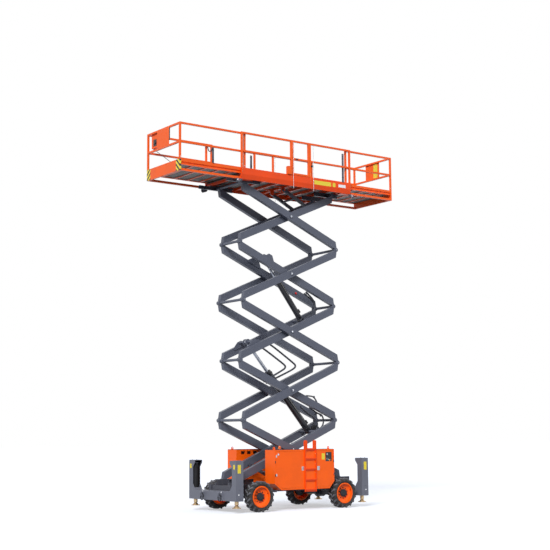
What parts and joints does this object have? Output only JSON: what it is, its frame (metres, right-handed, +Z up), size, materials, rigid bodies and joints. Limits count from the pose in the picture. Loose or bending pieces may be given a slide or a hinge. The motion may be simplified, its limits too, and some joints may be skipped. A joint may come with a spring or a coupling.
{
  "type": "scissor lift",
  "caption": "Rough-terrain scissor lift, raised: wheeled chassis with levelling jacks, crossed arm stages and a railed platform with roll-out decks.",
  "frame": {"origin": "on the ground under the middle of the rolled-out platform", "axes": "+X forward, +Y to the machine's left, +Z up"},
  "size_m": [7.5, 2.32, 10.3287],
  "materials": {
    "orange_paint": "semi-gloss orange enamel",
    "arm_paint": "satin blue-grey enamel",
    "chassis_paint": "satin dark grey enamel",
    "black_paint": "gloss black enamel",
    "chrome_rod": "hard chrome",
    "zinc_steel": "yellow zinc plate",
    "tyre_rubber": "moulded rubber",
    "amber_plastic": "clear amber",
    "engine_iron": "painted casting",
    "floor_plate": "raised-pattern aluminium plate",
    "black_plastic": "moulded"
  },
  "bodies": {
    "chassis": {"chassis_frame": "chassis_paint", "slide_channels": "chassis_paint", "front_axle": "chassis_paint", "rear_axle": "chassis_paint", "outrigger_front": "arm_paint", "outrigger_rear": "arm_paint", "cabinet_left": "orange_paint", "cabinet_right": "orange_paint", "engine": "engine_iron", "ladder": "orange_paint", "beacon": "amber_plastic"},
    "link_bottom": {"centring_link_bottom": "black_paint"},
    "inner_5": {"arms_inner_5": "arm_paint"},
    "outer_5": {"arms_outer_5": "arm_paint"},
    "inner_4": {"arms_inner_4": "arm_paint"},
    "outer_4": {"arms_outer_4": "arm_paint"},
    "inner_3": {"arms_inner_3": "arm_paint"},
    "outer_3": {"arms_outer_3": "arm_paint"},
    "inner_2": {"arms_inner_2": "arm_paint"},
    "outer_2": {"arms_outer_2": "arm_paint"},
    "inner_1": {"arms_inner_1": "arm_paint"},
    "outer_1": {"arms_outer_1": "arm_paint"},
    "link_top": {"centring_link_top": "black_paint"},
    "platform": {"deck_main": "orange_paint", "floor_main": "floor_plate", "deck_channels": "chassis_paint", "rail_main_left": "orange_paint", "rail_main_right": "orange_paint"},
    "lower_cylinder_barrel": {"lower_cylinder_barrel": "black_paint"},
    "lower_cylinder_rod": {"lower_cylinder_rod": "chrome_rod"},
    "upper_cylinder_barrel": {"upper_cylinder_barrel": "black_paint"},
    "upper_cylinder_rod": {"upper_cylinder_rod": "chrome_rod"},
    "knuckle_left": {"knuckle_left": "chassis_paint"},
    "knuckle_right": {"knuckle_right": "chassis_paint"},
    "wheel_front_left": {"tyre_front_left": "tyre_rubber", "rim_front_left": "orange_paint"},
    "wheel_front_right": {"tyre_front_right": "tyre_rubber", "rim_front_right": "orange_paint"},
    "wheel_rear_left": {"tyre_rear_left": "tyre_rubber", "rim_rear_left": "orange_paint"},
    "wheel_rear_right": {"tyre_rear_right": "tyre_rubber", "rim_rear_right": "orange_paint"},
    "door_left_front": {"door_left_front": "orange_paint"},
    "door_left_rear": {"door_left_rear": "orange_paint", "ground_control": "black_plastic"},
    "door_right_front": {"door_right_front": "orange_paint"},
    "door_right_rear": {"door_right_rear": "orange_paint"},
    "gate": {"gate": "orange_paint"},
    "deck_front": {"deck_front": "orange_paint", "floor_front": "floor_plate", "rail_front": "orange_paint", "platform_control": "black_plastic"},
    "deck_rear": {"deck_rear": "orange_paint", "floor_rear": "floor_plate", "rail_rear": "orange_paint"},
    "jack_front_left": {"jack_leg_front_left": "zinc_steel"},
    "jack_front_right": {"jack_leg_front_right": "zinc_steel"},
    "jack_rear_left": {"jack_leg_rear_left": "zinc_steel"},
    "jack_rear_right": {"jack_leg_rear_right": "zinc_steel"}
  },
  "joints": [
    {"name": "lift", "type": "hinge", "parent": "chassis", "child": "link_bottom", "pos_m": [-0.1, 0, 0.8], "axis": [0, -1, 0], "range_deg": [-23.3, 22.4]},
    {"name": "inner_5_pin", "type": "hinge", "parent": "link_bottom", "child": "inner_5", "pos_m": [0.72067, 0, 1.21025], "axis": [0, 1, 0], "range_deg": [-46.65, 44.85]},
    {"name": "inner_4_pin", "type": "hinge", "parent": "inner_5", "child": "inner_4", "pos_m": [-1.74135, 0, 2.44098], "axis": [0, -1, 0], "range_deg": [-46.65, 44.85]},
    {"name": "inner_3_pin", "type": "hinge", "parent": "inner_4", "child": "inner_3", "pos_m": [1.54135, 0, 4.08197], "axis": [0, 1, 0], "range_deg": [-46.65, 44.85]},
    {"name": "inner_2_pin", "type": "hinge", "parent": "inner_3", "child": "inner_2", "pos_m": [-1.74135, 0, 5.72295], "axis": [0, -1, 0], "range_deg": [-46.65, 44.85]},
    {"name": "inner_1_pin", "type": "hinge", "parent": "inner_2", "child": "inner_1", "pos_m": [1.54135, 0, 7.36394], "axis": [0, 1, 0], "range_deg": [-46.65, 44.85]},
    {"name": "outer_5_pin", "type": "hinge", "parent": "inner_5", "child": "outer_5", "pos_m": [-0.1, 0, 1.62049], "axis": [0, -1, 0], "range_deg": [-46.65, 44.85]},
    {"name": "outer_4_pin", "type": "hinge", "parent": "inner_4", "child": "outer_4", "pos_m": [-0.1, 0, 3.26148], "axis": [0, 1, 0], "range_deg": [-46.65, 44.85]},
    {"name": "outer_3_pin", "type": "hinge", "parent": "inner_3", "child": "outer_3", "pos_m": [-0.1, 0, 4.90246], "axis": [0, -1, 0], "range_deg": [-46.65, 44.85]},
    {"name": "outer_2_pin", "type": "hinge", "parent": "inner_2", "child": "outer_2", "pos_m": [-0.1, 0, 6.54345], "axis": [0, 1, 0], "range_deg": [-46.65, 44.85]},
    {"name": "outer_1_pin", "type": "hinge", "parent": "inner_1", "child": "outer_1", "pos_m": [-0.1, 0, 8.18443], "axis": [0, -1, 0], "range_deg": [-46.65, 44.85]},
    {"name": "link_top_pin", "type": "hinge", "parent": "inner_1", "child": "link_top", "pos_m": [-0.92067, 0, 8.59468], "axis": [0, -1, 0], "range_deg": [-46.65, 44.85]},
    {"name": "platform_pin", "type": "hinge", "parent": "link_top", "child": "platform", "pos_m": [-0.1, 0, 9.00492], "axis": [0, 1, 0], "range_deg": [-23.35, 22.45]},
    {"name": "lower_cylinder_foot", "type": "hinge", "parent": "inner_5", "child": "lower_cylinder_barrel", "pos_m": [-1.13534, 0, 2.12128], "axis": [0, -1, 0], "range_deg": [-57.14, 54.93]},
    {"name": "lower_cylinder_stroke", "type": "slide", "parent": "lower_cylinder_barrel", "child": "lower_cylinder_rod", "axis": [0.6543, 0, 0.7562], "range_m": [-0.969, 0.9317]},
    {"name": "upper_cylinder_foot", "type": "hinge", "parent": "inner_3", "child": "upper_cylinder_barrel", "pos_m": [-0.89652, 0, 5.30622], "axis": [0, -1, 0], "range_deg": [-60.63, 58.29]},
    {"name": "upper_cylinder_stroke", "type": "slide", "parent": "upper_cylinder_barrel", "child": "upper_cylinder_rod", "axis": [0.6067, 0, 0.7949], "range_m": [-0.5961, 0.5732]},
    {"name": "steer", "type": "hinge", "parent": "chassis", "child": "knuckle_left", "pos_m": [1.33, 0.875, 0.41], "axis": [0, 0, 1], "range_deg": [-30, 30]},
    {"name": "steer_right", "type": "hinge", "parent": "chassis", "child": "knuckle_right", "pos_m": [1.33, -0.875, 0.41], "axis": [0, 0, 1], "range_deg": [-30.1, 30.1]},
    {"name": "wheel_front_left_spin", "type": "hinge", "parent": "knuckle_left", "child": "wheel_front_left", "pos_m": [1.33, 1, 0.41], "axis": [0, 1, 0], "continuous": true},
    {"name": "wheel_front_right_spin", "type": "hinge", "parent": "knuckle_right", "child": "wheel_front_right", "pos_m": [1.33, -1, 0.41], "axis": [0, 1, 0], "continuous": true},
    {"name": "wheel_rear_left_spin", "type": "hinge", "parent": "chassis", "child": "wheel_rear_left", "pos_m": [-1.53, 1, 0.41], "axis": [0, 1, 0], "continuous": true},
    {"name": "wheel_rear_right_spin", "type": "hinge", "parent": "chassis", "child": "wheel_rear_right", "pos_m": [-1.53, -1, 0.41], "axis": [0, 1, 0], "continuous": true},
    {"name": "door_left_front_hinge", "type": "hinge", "parent": "chassis", "child": "door_left_front", "pos_m": [0.855, 1.141, 1.1], "axis": [0, 0, -1], "range_deg": [0, 105]},
    {"name": "door_left_rear_hinge", "type": "hinge", "parent": "chassis", "child": "door_left_rear", "pos_m": [-1.105, 1.141, 1.1], "axis": [0, 0, 1], "range_deg": [0, 105]},
    {"name": "door_right_front_hinge", "type": "hinge", "parent": "chassis", "child": "door_right_front", "pos_m": [0.855, -1.141, 1.1], "axis": [0, 0, 1], "range_deg": [0, 105]},
    {"name": "door_right_rear_hinge", "type": "hinge", "parent": "chassis", "child": "door_right_rear", "pos_m": [-1.105, -1.141, 1.1], "axis": [0, 0, -1], "range_deg": [0, 105]},
    {"name": "gate_hinge", "type": "hinge", "parent": "platform", "child": "gate", "pos_m": [-0.5725, 0.861, 9.7], "axis": [0, 0, -1], "range_deg": [0, 88]},
    {"name": "deck_front_slide", "type": "slide", "parent": "platform", "child": "deck_front", "axis": [-1, 0, 0], "range_m": [0, 1.5]},
    {"name": "deck_rear_slide", "type": "slide", "parent": "platform", "child": "deck_rear", "axis": [1, 0, 0], "range_m": [0, 1.2]},
    {"name": "jack_front_left_slide", "type": "slide", "parent": "chassis", "child": "jack_front_left", "axis": [0, 0, -1], "range_m": [0, 0.45]},
    {"name": "jack_front_right_slide", "type": "slide", "parent": "chassis", "child": "jack_front_right", "axis": [0, 0, -1], "range_m": [0, 0.45]},
    {"name": "jack_rear_left_slide", "type": "slide", "parent": "chassis", "child": "jack_rear_left", "axis": [0, 0, -1], "range_m": [0, 0.45]},
    {"name": "jack_rear_right_slide", "type": "slide", "parent": "chassis", "child": "jack_rear_right", "axis": [0, 0, -1], "range_m": [0, 0.45]}
  ],
  "couplings": [
    {"joint": "inner_5_pin", "follows": "lift", "ratio": 2},
    {"joint": "inner_4_pin", "follows": "lift", "ratio": 2},
    {"joint": "inner_3_pin", "follows": "lift", "ratio": 2},
    {"joint": "inner_2_pin", "follows": "lift", "ratio": 2},
    {"joint": "inner_1_pin", "follows": "lift", "ratio": 2},
    {"joint": "outer_5_pin", "follows": "lift", "ratio": 2},
    {"joint": "outer_4_pin", "follows": "lift", "ratio": 2},
    {"joint": "outer_3_pin", "follows": "lift", "ratio": 2},
    {"joint": "outer_2_pin", "follows": "lift", "ratio": 2},
    {"joint": "outer_1_pin", "follows": "lift", "ratio": 2},
    {"joint": "link_top_pin", "follows": "lift", "ratio": 2},
    {"joint": "platform_pin", "follows": "lift", "ratio": 1},
    {"joint": "lower_cylinder_foot", "follows": "lift", "ratio": 2.45},
    {"joint": "lower_cylinder_stroke", "follows": "lift", "m_per_rad": 2.378},
    {"joint": "upper_cylinder_foot", "follows": "lift", "ratio": 2.6},
    {"joint": "upper_cylinder_stroke", "follows": "lift", "m_per_rad": 1.461},
    {"joint": "steer_right", "follows": "steer", "ratio": 1}
  ]
}
